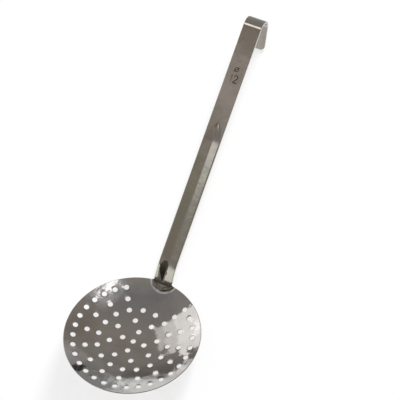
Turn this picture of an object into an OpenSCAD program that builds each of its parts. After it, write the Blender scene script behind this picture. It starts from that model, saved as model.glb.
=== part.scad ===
// Kitchen skimmer: a shallow perforated steel dish on a strip handle with a hanging hook.
// It is placed as it rests on a table: on its rim below the handle, and on the end of its hook.
// The handle points along +X, and the origin is on the table below the middle of its box.

/* [Dish] */
// Diameter across the rim
dish_d = 120; // [100:1:160]
// Depth inside, from the top of the rim to the bottom
dish_depth = 11; // [8:0.5:20]
// Thickness of the dish's sheet
sheet_t = 1; // [0.6:0.1:2]

/* [Drain holes] */
// Diameter of a drain hole
hole_d = 4.6; // [3:0.1:6]
// Distance from one ring of holes to the next
ring_pitch = 10.4; // [9:0.1:14]
// Least plain sheet between the outermost holes and the rim
rim_plain = 4; // [2:0.5:12]
// Least plain sheet between the foot and the holes nearest to it
foot_plain = 16; // [8:1:24]

/* [Strip] */
// Width of the handle's strip
strip_w = 17; // [15:0.5:20]
// Thickness of the strip
strip_t = 2.2; // [1.9:0.1:3]
// Radius on the strip's long edges
strip_edge_r = 0.5; // [0.2:0.1:0.7]

/* [Foot] */
// Width of the foot's round outline
foot_w = 24; // [21:0.5:32]
// How far the foot's tip reaches in from the rim
foot_reach = 8.2; // [7.8:0.1:12]
// Gap between the foot's shoulders and the rim
foot_set_in = 0.8; // [0.4:0.1:1.5]
// Diameter of a spot weld
weld_d = 2.4; // [2:0.1:2.6]
// Distance between the two spot welds
weld_step = 6.8; // [4:0.1:7]
// Depth of the round mark that the welding tips leave
weld_mark = 0.15; // [0.05:0.05:0.3]

/* [Neck] */
// How far in from the rim the strip starts to fold up
fold_in = 3.9; // [3.5:0.1:4.2]
// Inside radius of the fold
fold_r = 1.6; // [1:0.1:3]
// Slope of the strip above the fold, from the plane of the rim
neck_angle = 55; // [53:1:65]
// Radius of the long curve from the fold to the grip
neck_r = 70; // [60:1:120]

/* [Grip] */
// Slope of the straight grip, from the plane of the rim
grip_angle = 34.7; // [25:0.1:36]
// Length of the straight grip
grip_len = 213; // [150:1:280]
// Flat length between the groove and the hook
flat_len = 87; // [40:1:110]

/* [Groove] */
// Depth of the groove pressed along the neck and the grip
groove_depth = 1.5; // [0.5:0.1:1.6]
// Flat land left on each side of the groove
groove_land = 1.2; // [1:0.1:2]
// Radius across the bottom of the groove
groove_r = 5; // [1:0.5:12]
// Radius along the groove where it runs out towards the hook
run_out_r = 65; // [30:1:120]
// Distance between the groove and the fold
groove_gap = 1; // [0.5:0.1:2]

/* [Hook] */
// Inside radius of the hook
hook_r = 7; // [4:0.1:12]
// Angle through which the hook turns back
hook_turn = 147; // [125:1:170]
// Straight length at the end of the hook
hook_leg = 23; // [12:0.5:35]
// Radius of the two corners at the end of the hook
hook_corner_r = 4.5; // [1:0.1:5.5]

/* [Hidden] */
steel = "#b9b6b2";
steel_dark = "#8f8c89";
weld_steel = "#77746f";
$fn = 96;
dish_fn = 180;
overlap = 0.5;
lap = 0.2;
seam_step = 0.05;

// The dish is part of a ball. Its rim is rounded over, and the rim's top lies at z = 0.
rim_r = dish_d / 2;
nose_r = sheet_t / 2;
nose_x = rim_r - nose_r;
ball_mid = (nose_x * nose_x + dish_depth * dish_depth) / (2 * dish_depth);
ball_in = ball_mid - nose_r;
ball_z = ball_in - dish_depth;
rim_slope = asin(nose_x / ball_mid);

// Rings of holes: the count in a ring doubles as the rings grow.
ring_count = floor((rim_r - rim_plain - hole_d / 2) / ring_pitch);
function holes_in(ring) = ring == 1 ? 4 : ring == 2 ? 8 : ring < 5 ? 16 : 32;
// Rings 1 and 5 have a hole on the handle's line, the others are turned by half a step.
function first_hole(ring) = (ring == 1 || ring == 5) ? 0 : 180 / holes_in(ring);

// The foot's outline is a round spade whose tip points at the middle of the dish.
foot_r = foot_w / 2;
foot_x = rim_r - foot_reach + foot_r;
hole_keep_out = foot_r + foot_plain + hole_d / 2;

// Middle line of the strip, in the upright x-z plane through the handle: each bend has its centre,
// and the points where it starts and ends are named for the lengths that they join.
function along(slope) = [cos(slope), sin(slope)];
function across(slope) = [-sin(slope), cos(slope)];
half_w = strip_w / 2;
half_t = strip_t / 2;
fold_mid = fold_r + half_t;
fold_slope = asin((rim_r - fold_in) / (ball_in - half_t));
fold_start = [0, ball_z] - (ball_in - half_t) * across(fold_slope);
fold_centre = fold_start + fold_mid * across(fold_slope);
fold_end = fold_centre - fold_mid * across(neck_angle);
neck_centre = fold_end - neck_r * across(neck_angle);
neck_end = neck_centre + neck_r * across(grip_angle);
grip_end = neck_end + grip_len * along(grip_angle);
hook_mid = hook_r + half_t;
hook_centre = grip_end - hook_mid * across(grip_angle);
leg_angle = grip_angle - hook_turn;
leg_start = hook_centre + hook_mid * across(leg_angle);
leg_end = leg_start + hook_leg * along(leg_angle);

// Each weld lies halfway between the foot's outline and the fold, measured on the foot's top.
weld_y = weld_step / 2;
weld_x = (foot_x - sqrt(foot_r * foot_r - weld_y * weld_y) + (ball_in - strip_t) * sin(fold_slope)) / 2;

// The groove is a V with a round bottom. Towards the hook it lifts out of the strip along an arc.
flank = atan(groove_depth / (half_w - groove_land));
vee_half_w = half_w - groove_land / 2;
front_vee = half_t - groove_depth;
back_vee = -half_t - groove_depth;
out_path_r = run_out_r + front_vee;
out_len = run_out_r * sin(acos(1 - groove_depth / run_out_r));
groove_len = grip_len - flat_len - out_len;

// Along the neck it bends less than the strip does, so it grows shallow and ends above the fold.
// Its radius comes from that end, which is given here from the place where the neck begins.
neck_turn = neck_angle - grip_angle;
shallow_turn = neck_turn - groove_gap / neck_r * 180 / PI;
shallow_end = (neck_r + half_t) * along(90 + shallow_turn) - [0, neck_r];
vee_neck_r = (front_vee * front_vee - shallow_end * shallow_end) / (2 * (shallow_end[1] - front_vee));
function sq(a) = a * a;
// How far a V turns along the neck before its bottom reaches the strip's face.
function vee_turn(bottom) = let (r = vee_neck_r + bottom, apart = vee_neck_r - neck_r)
    acos((sq(r) + sq(apart) - sq(neck_r + bottom + groove_depth)) / (2 * r * apart));

// Lying down: the rim's rounded edge and the outer edge of the hook's end touch the table.
rim_point = [nose_x, -nose_r];
reach = leg_end + (half_t - seam_step) * across(leg_angle) - rim_point;
lie_angle = atan2(reach[1], reach[0]) + asin(nose_r / norm(reach));
function laid(p) = [p * along(lie_angle), p * across(lie_angle)];
table_z = laid(rim_point)[1] - nose_r;
far_rim_x = laid([-nose_x, -nose_r])[0] - nose_r;
hook_top_x = laid(hook_centre)[0] + hook_r + strip_t;
middle_x = (far_rim_x + hook_top_x) / 2;

// Puts what is built with a level rim into its place on the table.
module laid_down() {
    translate([-middle_x, 0, -table_z]) rotate([0, lie_angle, 0]) children();
}

// Ball-shaped layer of the given wall, from the outer radius inwards, out to the rim.
module ball_layer(outer_r, wall) {
    translate([0, 0, ball_z]) rotate_extrude($fn = dish_fn) intersection() {
        difference() {
            circle(r = outer_r, $fn = 4 * dish_fn);
            circle(r = outer_r - wall, $fn = 4 * dish_fn);
        }
        polygon([[0, 0], [0, -2 * outer_r], 2 * outer_r * [sin(rim_slope), -cos(rim_slope)]]);
    }
}

module rim_nose() {
    translate([0, 0, -nose_r]) rotate_extrude($fn = dish_fn) translate([nose_x, 0]) circle(r = nose_r, $fn = 24);
}

// Round bar square to the dish's sheet, through a point that is given as seen from above.
module bar(point, d) {
    lean = asin(norm(point) / ball_in);
    translate([0, 0, ball_z]) rotate([0, -lean, atan2(point[1], point[0])])
        translate([0, 0, -ball_in]) cylinder(d = d, h = 4 * strip_t, center = true, $fn = 32);
}

module drain_holes() {
    bar([0, 0], hole_d);
    for (ring = [1 : ring_count], i = [0 : holes_in(ring) - 1]) {
        spot = ring * ring_pitch * along(first_hole(ring) + 360 * i / holes_in(ring));
        if (norm(spot - [foot_x, 0]) > hole_keep_out) bar(spot, hole_d);
    }
}

module weld_bars() {
    for (side = [-1, 1]) bar([weld_x, side * weld_y] * ball_in / (ball_in - strip_t), weld_d);
}

module dish() {
    color(steel) laid_down() difference() {
        union() {
            ball_layer(ball_in + sheet_t, sheet_t);
            rim_nose();
        }
        drain_holes();
        weld_bars();
    }
}

// Section of the strip: its width along x and its thickness along y, with the long edges rounded.
// It can be drawn a little larger or smaller all round.
module strip_section(grown = 0) {
    steps = 4;
    edge_r = strip_edge_r + grown;
    polygon([for (c = [[1, 1, 0], [-1, 1, 90], [-1, -1, 180], [1, -1, 270]], i = [0 : steps])
        [c[0] * (half_w - strip_edge_r), c[1] * (half_t - strip_edge_r)]
            + edge_r * along(c[2] + 90 * i / steps)]);
}

// Area above the groove's V. Its flanks would meet at the given height, below its round bottom.
module above_vee(bottom) {
    arc_y = bottom + groove_r / cos(flank);
    top = bottom + vee_half_w * tan(flank);
    polygon(concat([[vee_half_w, top], [-vee_half_w, top]],
        [for (i = [-2 : 2]) [0, arc_y] + groove_r * along(i * flank / 2 - 90)]));
}

// Puts what lies along +X at a point of the middle line, on the strip's slope there.
module at(point, slope) {
    translate([point[0], 0, point[1]]) rotate([0, -slope, 0]) children();
}

// Draws a section out along +X.
module straight(length) {
    rotate([90, 0, 90]) linear_extrude(length) children();
}

// Leads a section from the origin towards -X and down.
module bend_down(radius, turn) {
    translate([0, 0, -radius]) rotate([90, -90, 0]) rotate_extrude(angle = turn)
        translate([radius, 0]) rotate(-90) children();
}

// Leads a section from the origin towards +X and up.
module bend_up(radius, turn) {
    translate([0, 0, radius]) rotate([90, 90, 0]) rotate_extrude(angle = turn)
        translate([radius, 0]) rotate(90) children();
}

// Carries what lies along +X at the origin to the end of such a bend.
module past_down(radius, turn) {
    translate([0, 0, -radius]) rotate([0, -turn, 0]) translate([0, 0, radius]) children();
}

// Flat end of the strip, spread into a spade that follows the inside of the dish. Beside the fold
// its two shoulders reach on towards the rim.
module foot() {
    notch_w = strip_w - 2 * (strip_edge_r + overlap);
    difference() {
        intersection() {
            rotate([0, 0, 180]) ball_layer(ball_in, strip_t);
            translate([foot_x, 0, -dish_depth]) cylinder(r = foot_r, h = 3 * dish_depth);
            translate([0, 0, -dish_depth]) cylinder(r = rim_r - foot_set_in, h = 3 * dish_depth, $fn = dish_fn);
        }
        at(fold_start, fold_slope) translate([overlap, -notch_w / 2, -2 * strip_t])
            cube([foot_w, notch_w, 4 * strip_t]);
    }
}

// The fold stands proud of the neck by a small step, as pressed metal does.
module fold() {
    intersection() {
        at(fold_end, neck_angle) mirror([1, 0, 0]) bend_up(fold_mid, neck_angle - fold_slope)
            strip_section(seam_step);
        translate([0, 0, ball_z]) sphere(r = ball_in, $fn = dish_fn);
    }
}

// The neck runs a little way into the fold, which it joins.
module neck() {
    bend_down(neck_r, neck_turn + lap / neck_r * 180 / PI) strip_section();
}

// What lies in front of a V that follows the neck and the grip.
module vee(bottom) {
    bend_down(vee_neck_r, vee_turn(bottom)) above_vee(bottom);
    straight(groove_len) above_vee(bottom);
    translate([groove_len, 0, 0])
        bend_up(out_path_r, acos(1 - groove_depth / (out_path_r - bottom))) above_vee(bottom);
}

// Outline of the hook's straight end, along +X, with its two corners rounded.
module hook_end_outline() {
    corner_x = hook_leg - hook_corner_r;
    translate([-overlap, -half_w]) square([corner_x + overlap, strip_w]);
    translate([-overlap, hook_corner_r - half_w]) square([hook_leg + overlap, strip_w - 2 * hook_corner_r]);
    for (side = [-1, 1])
        translate([corner_x, side * (half_w - hook_corner_r)]) circle(r = hook_corner_r, $fn = 48);
}

// The hook leads on from the origin. Its straight end runs a little way into the bend, which it
// joins, and is slimmer than the bend by a small step.
module hook() {
    mirror([1, 0, 0]) {
        bend_down(hook_mid, hook_turn) strip_section();
        past_down(hook_mid, hook_turn) mirror([1, 0, 0]) intersection() {
            translate([-lap, 0, 0]) straight(hook_leg + lap) strip_section(-seam_step);
            translate([0, 0, -strip_t]) linear_extrude(2 * strip_t) hook_end_outline();
        }
    }
}

// One strip from foot to hook. The groove stands out behind by as much as it sinks in front.
module handle() {
    color(steel_dark) laid_down() difference() {
        union() {
            foot();
            fold();
            at(neck_end, grip_angle) {
                neck();
                straight(grip_len) strip_section();
                vee(back_vee);
                translate([grip_len, 0, 0]) hook();
            }
        }
        at(neck_end, grip_angle) vee(front_vee);
        weld_bars();
    }
}

// Welded metal that joins the foot to the dish, a little sunk on both faces.
module spot_welds() {
    color(weld_steel) laid_down() intersection() {
        ball_layer(ball_in + sheet_t - weld_mark, sheet_t + strip_t - 2 * weld_mark);
        weld_bars();
    }
}

dish();
handle();
spot_welds();
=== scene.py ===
# %% [markdown]
# # A kitchen skimmer
# The tool has two pieces of steel: a shallow round dish full of drain holes, and one long strip that is
# its handle. Two spot welds hold them together. This notebook loads the CAD model, builds a smooth and
# finely shaped piece over each of its solids, gives them a worn polish, and lights them.

# %% Load the CAD frame
from math import acos, asin, atan, atan2, ceil, cos, hypot, pi, radians, sin, sqrt, tan

import bmesh
import bpy
import numpy as np
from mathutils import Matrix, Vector
from mathutils.geometry import delaunay_2d_cdt


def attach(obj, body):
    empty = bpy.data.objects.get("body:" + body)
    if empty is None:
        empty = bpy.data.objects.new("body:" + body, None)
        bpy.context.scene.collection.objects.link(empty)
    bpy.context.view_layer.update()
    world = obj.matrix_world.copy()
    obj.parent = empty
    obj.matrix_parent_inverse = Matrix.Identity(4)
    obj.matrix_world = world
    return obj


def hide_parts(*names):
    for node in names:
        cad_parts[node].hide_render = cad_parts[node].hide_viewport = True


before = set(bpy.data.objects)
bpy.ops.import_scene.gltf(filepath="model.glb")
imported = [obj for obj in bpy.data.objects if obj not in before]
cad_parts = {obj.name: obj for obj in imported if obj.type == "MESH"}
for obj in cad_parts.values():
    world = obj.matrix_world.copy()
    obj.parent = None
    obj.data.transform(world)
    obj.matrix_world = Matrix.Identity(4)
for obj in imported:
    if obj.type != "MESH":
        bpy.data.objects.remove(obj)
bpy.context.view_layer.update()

print("CAD nodes:", sorted(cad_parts))

# %% [markdown]
# ## Sizes
# These are the sizes that the solids were built from, in millimetres. Each shape below is worked out
# from them in the same way as in the solids, so that the fine pieces lie exactly over the plain ones.
# The skimmer's own frame has a level rim: the dish's centre is at x = y = 0, the top of the rim is at
# z = 0, and the handle rises towards +X.

# %% Sizes, in millimetres
RIM_R, DISH_DEPTH, SHEET_T = 60.0, 11.0, 1.0
HOLE_D, RING_PITCH, FOOT_PLAIN = 4.6, 10.4, 16.0
STRIP_W, STRIP_T, STRIP_EDGE_R = 17.0, 2.2, 0.5
FOOT_W, FOOT_REACH, FOOT_SET_IN = 24.0, 8.2, 0.8
WELD_D, WELD_STEP, WELD_MARK = 2.4, 6.8, 0.15
FOLD_IN, FOLD_R, NECK_ANGLE, NECK_R = 3.9, 1.6, radians(55), 70.0
GRIP_ANGLE, GRIP_LEN, FLAT_LEN = radians(34.7), 213.0, 87.0
GROOVE_DEPTH, GROOVE_LAND, GROOVE_R = 1.5, 1.2, 5.0
RUN_OUT_R, GROOVE_GAP = 130.0, 1.0
HOOK_R, HOOK_TURN, HOOK_LEG, HOOK_CORNER_R = 7.0, radians(147), 23.0, 4.5
SEAM_STEP = 0.05

# %% The ball that the dish is part of
NOSE_R = SHEET_T / 2
NOSE_X = RIM_R - NOSE_R
BALL_MID = (NOSE_X ** 2 + DISH_DEPTH ** 2) / (2 * DISH_DEPTH)
BALL_IN = BALL_MID - NOSE_R
BALL_Z = BALL_IN - DISH_DEPTH
RIM_SLOPE = asin(NOSE_X / BALL_MID)
print(f"The dish is part of a ball of radius {BALL_IN:.1f} mm")

# %% [markdown]
# ## The strip's middle line
# The strip bends only in the upright plane through the handle. Its middle line is a chain of arcs and
# straight lengths, each joined to the next without a kink, so a slope and a point are enough to carry
# it on. `along` is the direction of a slope, and `across` points out of the strip's front.

# %% Middle line
def along(slope):
    return np.array([cos(slope), sin(slope)])


def across(slope):
    return np.array([-sin(slope), cos(slope)])


HALF_W, HALF_T = STRIP_W / 2, STRIP_T / 2
FOOT_R = FOOT_W / 2
FOOT_X = RIM_R - FOOT_REACH + FOOT_R
FOLD_MID = FOLD_R + HALF_T
HOOK_MID = HOOK_R + HALF_T
FOLD_SLOPE = asin((RIM_R - FOLD_IN) / (BALL_IN - HALF_T))
fold_start = np.array([0, BALL_Z]) - (BALL_IN - HALF_T) * across(FOLD_SLOPE)
fold_centre = fold_start + FOLD_MID * across(FOLD_SLOPE)
neck_centre = fold_centre - (FOLD_MID + NECK_R) * across(NECK_ANGLE)
neck_end = neck_centre + NECK_R * across(GRIP_ANGLE)
grip_end = neck_end + GRIP_LEN * along(GRIP_ANGLE)
hook_centre = grip_end - HOOK_MID * across(GRIP_ANGLE)
LEG_ANGLE = GRIP_ANGLE - HOOK_TURN
leg_start = hook_centre + HOOK_MID * across(LEG_ANGLE)
leg_end = leg_start + HOOK_LEG * along(LEG_ANGLE)
print("The grip ends at", grip_end.round(1), "and the hook's leg at", leg_end.round(1))

# %% [markdown]
# ## Lying on the table
# The skimmer rests on its rim and on the end of its hook. That tips it by an angle which follows from
# the two points that touch. `on_table` puts points of the skimmer's own frame, in millimetres, into the
# frame of the CAD model, in metres.

# %% From the skimmer's own frame to the table
rim_point = np.array([NOSE_X, -NOSE_R])
reach = leg_end + (HALF_T - SEAM_STEP) * across(LEG_ANGLE) - rim_point
LIE = atan2(reach[1], reach[0]) + asin(NOSE_R / hypot(*reach))


def laid(point):
    return np.array([point @ along(LIE), point @ across(LIE)])


TABLE_Z = laid(rim_point)[1] - NOSE_R
MIDDLE_X = (laid(np.array([-NOSE_X, -NOSE_R]))[0] - NOSE_R + laid(hook_centre)[0] + HOOK_R + STRIP_T) / 2


def on_table(points):
    x, y, z = np.asarray(points, float).reshape(-1, 3).T
    lie = x * cos(LIE) + z * sin(LIE) - MIDDLE_X, y, z * cos(LIE) - x * sin(LIE) - TABLE_Z
    return np.column_stack(lie) / 1000


def turned(directions):
    """Directions of the skimmer's own frame, as they point on the table."""
    return (on_table(directions) - on_table([[0, 0, 0]])) * 1000


print(f"It lies tipped by {LIE * 180 / pi:.2f} degrees")

# %% Helpers for meshes
def new_object(name, points, faces):
    """A mesh object in metres. Its faces are turned outwards."""
    mesh = bpy.data.meshes.new(name)
    mesh.from_pydata([tuple(p) for p in points], [], faces)
    obj = bpy.data.objects.new(name, mesh)
    bpy.context.scene.collection.objects.link(obj)
    work = bmesh.new()
    work.from_mesh(mesh)
    bmesh.ops.recalc_face_normals(work, faces=work.faces)
    work.to_mesh(mesh)
    work.free()
    return obj


def skin(rings, closed=True):
    """Faces between rings of equally many points. A ring of one point is a pole."""
    faces, start = [], 0
    for ring, following in zip(rings, rings[1:]):
        a, b, n = start, start + len(ring), max(len(ring), len(following))
        for i in range(n if closed else n - 1):
            j = (i + 1) % n
            if len(ring) == 1:
                faces.append((a, b + j, b + i))
            elif len(following) == 1:
                faces.append((a + i, a + j, b))
            else:
                faces.append((a + i, a + j, b + j, b + i))
        start += len(ring)
    return faces


def baked(obj, modifiers):
    """The object with its modifiers turned into plain mesh, and the modifiers removed."""
    graph = bpy.context.evaluated_depsgraph_get()
    mesh = bpy.data.meshes.new_from_object(obj.evaluated_get(graph))
    for modifier in modifiers:
        obj.modifiers.remove(modifier)
    obj.data = mesh
    return obj


def cleaned(obj):
    """A Boolean leaves slivers of no area. The mesh is cut into triangles, and they are dissolved."""
    work = bmesh.new()
    work.from_mesh(obj.data)
    for _ in range(3):
        bmesh.ops.triangulate(work, faces=work.faces)
        bmesh.ops.dissolve_degenerate(work, dist=2e-6, edges=work.edges)
    bmesh.ops.triangulate(work, faces=work.faces)
    work.to_mesh(obj.data)
    work.free()


def cut(obj, cutter):
    """Takes the cutter's shape out of the object."""
    modifier = obj.modifiers.new("cut", "BOOLEAN")
    modifier.operation, modifier.solver, modifier.object = "DIFFERENCE", "EXACT", cutter
    modifier.material_mode = "TRANSFER"
    baked(obj, [modifier])
    bpy.data.objects.remove(cutter)


# %% [markdown]
# ## Steel that has been polished and used
# Polished stainless steel is almost a mirror, but not an even one. Rolling leaves fine lines along the
# sheet, wiping and scouring leave hair scratches and cloudy patches, and punching and pressing leave it
# slightly wavy, which is what breaks a reflection into ragged patches. All three pieces share these
# effects, so they are one node group. It puts out a colour, a roughness and a height. The shader stays in
# each material.

# %% The shared finish
def socket(group, name, kind, value=None, out=False):
    made = group.interface.new_socket(name, in_out="OUTPUT" if out else "INPUT", socket_type=kind)
    if value is not None:
        made.default_value = value
    return made


def node(tree, kind, inputs=None, **settings):
    made = tree.nodes.new(kind)
    for key, value in settings.items():
        setattr(made, key, value)
    for key, value in (inputs or {}).items():
        if isinstance(value, bpy.types.NodeSocket):
            tree.links.new(value, made.inputs[key])
        else:
            made.inputs[key].default_value = value
    return made


def math(tree, operation, a, b=0.0, clamp=False):
    return node(tree, "ShaderNodeMath", {0: a, 1: b}, operation=operation, use_clamp=clamp).outputs[0]


def scaled(tree, value, low, high, to_low=0.0, to_high=1.0):
    spread = {"Value": value, "From Min": low, "From Max": high, "To Min": to_low, "To Max": to_high}
    return node(tree, "ShaderNodeMapRange", spread, interpolation_type="SMOOTHSTEP").outputs[0]


def noise(tree, vector, scale, detail=3.0, roughness=0.5):
    inputs = {"Vector": vector, "Scale": scale, "Detail": detail, "Roughness": roughness}
    return node(tree, "ShaderNodeTexNoise", inputs).outputs[0]


def mixed_colour(tree, share, a, b):
    return node(tree, "ShaderNodeMix", {"Factor": share, 6: a, 7: b}, data_type="RGBA").outputs[2]


def used_steel_group():
    group = bpy.data.node_groups.new("used steel", "ShaderNodeTree")
    socket(group, "Vector", "NodeSocketVector")
    socket(group, "Clean colour", "NodeSocketColor", (0.6, 0.59, 0.58, 1))
    socket(group, "Dull colour", "NodeSocketColor", (0.5, 0.48, 0.45, 1))
    socket(group, "Stain colour", "NodeSocketColor", (0.13, 0.12, 0.1, 1))
    socket(group, "Stain", "NodeSocketFloat", 0.0)
    socket(group, "Polish", "NodeSocketFloat", 0.1)
    socket(group, "Cloudiness", "NodeSocketFloat", 0.1)
    socket(group, "Grain", "NodeSocketFloat", 0.02)
    socket(group, "Waves", "NodeSocketFloat", 0.05)
    socket(group, "Color", "NodeSocketColor", out=True)
    socket(group, "Roughness", "NodeSocketFloat", out=True)
    socket(group, "Height", "NodeSocketFloat", out=True)
    given = group.nodes.new("NodeGroupInput").outputs
    place = given["Vector"]
    stretched = node(group, "ShaderNodeMapping", {"Vector": place, "Scale": (40, 3000, 3000)}).outputs[0]
    lines = noise(group, stretched, 1.0, 2.0)
    clouds = scaled(group, noise(group, place, 55.0, 5.0, 0.6), 0.42, 0.72)
    scratched = node(group, "ShaderNodeMapping",
                     {"Vector": place, "Rotation": (0, 0, 0.5), "Scale": (300, 6000, 3000)}).outputs[0]
    scratches = scaled(group, noise(group, scratched, 1.0, 1.0), 0.66, 0.72)
    waves = math(group, "ADD", math(group, "MULTIPLY", noise(group, place, 45.0, 1.0, 0.4), 2.0),
                 noise(group, place, 150.0, 2.0, 0.5))
    # Where the mask is on, the colour is painted darker, a painted dark reflection, and the steel gets rougher.
    ragged = math(group, "ADD", given["Stain"], noise(group, place, 500.0, 3.0))
    darkened = scaled(group, ragged, 0.85, 1.1, 0.0, 0.88)
    metal = mixed_colour(group, clouds, given["Clean colour"], given["Dull colour"])
    colour = mixed_colour(group, darkened, metal, given["Stain colour"])
    rough = math(group, "ADD", given["Polish"], math(group, "MULTIPLY", clouds, given["Cloudiness"]))
    rough = math(group, "ADD", rough, math(group, "MULTIPLY", scratches, 0.06))
    rough = math(group, "ADD", rough, math(group, "MULTIPLY", darkened, 0.12))
    height = math(group, "MULTIPLY", waves, given["Waves"])
    height = math(group, "ADD", height, math(group, "MULTIPLY", lines, given["Grain"]))
    out = group.nodes.new("NodeGroupOutput")
    group.links.new(colour, out.inputs["Color"])
    group.links.new(rough, out.inputs["Roughness"])
    group.links.new(height, out.inputs["Height"])
    return group


used_steel = used_steel_group()


MM = 0.001


def steel(name, clean, dull, polish, cloudiness, grain, waves):
    """A worn steel. Grain and waves are heights in millimetres."""
    material = bpy.data.materials.new(name)
    material.use_nodes = True
    tree = material.node_tree
    shader = tree.nodes["Principled BSDF"]
    place = tree.nodes.new("ShaderNodeTexCoord").outputs["Object"]
    given = {"Vector": place, "Clean colour": (*clean, 1), "Dull colour": (*dull, 1), "Polish": polish,
             "Cloudiness": cloudiness, "Grain": grain, "Waves": waves}
    finish = tree.nodes.new("ShaderNodeGroup")
    finish.node_tree = used_steel
    for key, value in given.items():
        if key == "Vector":
            tree.links.new(value, finish.inputs[key])
        else:
            finish.inputs[key].default_value = value
    bump = node(tree, "ShaderNodeBump", {"Strength": 1.0, "Distance": MM, "Height": finish.outputs["Height"]})
    shader.inputs["Metallic"].default_value = 1.0
    tree.links.new(finish.outputs["Color"], shader.inputs["Base Color"])
    tree.links.new(finish.outputs["Roughness"], shader.inputs["Roughness"])
    tree.links.new(bump.outputs[0], shader.inputs["Normal"])
    return material


dish_steel = steel("dish steel", (0.60, 0.585, 0.57), (0.53, 0.51, 0.49), 0.045, 0.05, 0.001, 0.08)
strip_steel = steel("strip steel", (0.60, 0.565, 0.52), (0.52, 0.495, 0.435), 0.08, 0.06, 0.002, 0.03)
weld_steel = steel("weld steel", (0.42, 0.39, 0.36), (0.30, 0.27, 0.24), 0.3, 0.1, 0.002, 0.05)
stamp_steel = steel("stamped steel", (0.11, 0.095, 0.08), (0.08, 0.07, 0.06), 0.45, 0.1, 0.0, 0.0)
strip_tree = strip_steel.node_tree
# The strip's colour is painted dark in ragged patches over the foot and on the neck, by the mask below: a painted dark
# reflection.
dark_reflection_mask = node(strip_tree, "ShaderNodeAttribute", attribute_name="dark_reflection").outputs["Fac"]
strip_tree.links.new(dark_reflection_mask, strip_tree.nodes["Group"].inputs["Stain"])
strip_place = node(strip_tree, "ShaderNodeSeparateXYZ",
                   {0: strip_tree.nodes["Texture Coordinate"].outputs["Object"]}).outputs
to_hook = scaled(strip_tree, strip_place["X"], 0.02, 0.07)
tinted = mixed_colour(strip_tree, to_hook, (0.58, 0.57, 0.495, 1), (0.60, 0.56, 0.525, 1))
strip_tree.links.new(tinted, strip_tree.nodes["Group"].inputs["Clean colour"])
# Painted highlight: the colour turns almost white along the rounded long edges, except under the painted dark
# reflection.
at_edge = scaled(strip_tree, math(strip_tree, "ABSOLUTE", strip_place["Y"]), 0.0082, 0.00845)
at_edge = math(strip_tree, "MULTIPLY", at_edge, math(strip_tree, "SUBTRACT", 1.0, dark_reflection_mask))
edge_highlight = mixed_colour(strip_tree, at_edge, strip_tree.nodes["Group"].outputs["Color"], (0.9, 0.88, 0.84, 1))
strip_tree.links.new(edge_highlight, strip_tree.nodes["Principled BSDF"].inputs["Base Color"])
print("Finishes:", ", ".join(m.name for m in (dish_steel, strip_steel, weld_steel, stamp_steel)))

# %% [markdown]
# ## The dish
# A dish like this is pressed from a flat round sheet. A lathe is the plain way to draw it: one outline
# from the middle of the outside, round the rolled rim, and back to the middle of the inside, turned once
# round. The outline is closed at both poles, so the dish is solid metal and not a thin skin.

# %% Lathe the dish's shell
AROUND, ALONG_BALL, AROUND_NOSE = 240, 44, 12


def ball_point(radius, angle):
    return np.array([radius * sin(angle), BALL_Z - radius * cos(angle)])


def dish_outline():
    steps = np.linspace(0, RIM_SLOPE, ALONG_BALL + 1)
    outside = [ball_point(BALL_IN + SHEET_T, a) for a in steps[:-1]]
    nose_turns = np.linspace(RIM_SLOPE - pi / 2, RIM_SLOPE + pi / 2, AROUND_NOSE + 1)
    nose = [np.array([NOSE_X, -NOSE_R]) + NOSE_R * along(a) for a in nose_turns]
    inside = [ball_point(BALL_IN, a) for a in steps[:-1]]
    return outside + nose + inside[::-1]


def lathe(outline, around=AROUND):
    """Rings of points about the Z axis. An outline point on the axis becomes a pole."""
    turns = np.arange(around) * 2 * pi / around
    rings = []
    for r, z in outline:
        count = turns if r > 1e-9 else turns[:1]
        rings.append(np.column_stack((r * np.cos(count), r * np.sin(count), np.full(len(count), z))))
    return rings


rings = lathe(dish_outline())
dish = new_object("pressed_dish", np.vstack(rings) / 1000, skin(rings))
print("The plain dish has", len(dish.data.polygons), "faces")

# %% [markdown]
# ## The drain holes
# The holes follow a rule: rings at an even pitch, and twice as many holes in a ring as the rings grow.
# None is nearer than a plain margin to the handle's foot. That suits Geometry Nodes. One small group
# makes a ring of points. The tree joins five rings and the middle point, deletes the points inside the
# margin, drops the rest onto the ball, turns a punch square to the sheet at each, and takes the punches
# out of the shell. The punch is a little wider at both ends, which rounds the edges of the holes.

# %% A ring of points
def ring_group():
    group = bpy.data.node_groups.new("ring of points", "GeometryNodeTree")
    socket(group, "Count", "NodeSocketInt", 4)
    socket(group, "Radius", "NodeSocketFloat", 0.01)
    socket(group, "First angle", "NodeSocketFloat", 0.0)
    socket(group, "Points", "NodeSocketGeometry", out=True)
    given = group.nodes.new("NodeGroupInput").outputs
    share = math(group, "DIVIDE", group.nodes.new("GeometryNodeInputIndex").outputs[0], given["Count"])
    angle = math(group, "ADD", math(group, "MULTIPLY", share, 2 * pi), given["First angle"])
    x = math(group, "MULTIPLY", math(group, "COSINE", angle), given["Radius"])
    y = math(group, "MULTIPLY", math(group, "SINE", angle), given["Radius"])
    spot = node(group, "ShaderNodeCombineXYZ", {"X": x, "Y": y}).outputs[0]
    points = node(group, "GeometryNodePoints", {"Count": given["Count"], "Position": spot})
    group.links.new(points.outputs[0], group.nodes.new("NodeGroupOutput").inputs[0])
    return group


ring_of_points = ring_group()

# %% The tree that punches the holes
RINGS = [(1, 0), (4, 0), (8, pi / 8), (16, pi / 16), (16, pi / 16), (32, 0)]


def vector_math(tree, operation, a, b=(0, 0, 0)):
    made = node(tree, "ShaderNodeVectorMath", {0: a, 1: b}, operation=operation)
    return made.outputs["Value" if operation in ("LENGTH", "DOT_PRODUCT") else "Vector"]


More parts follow.
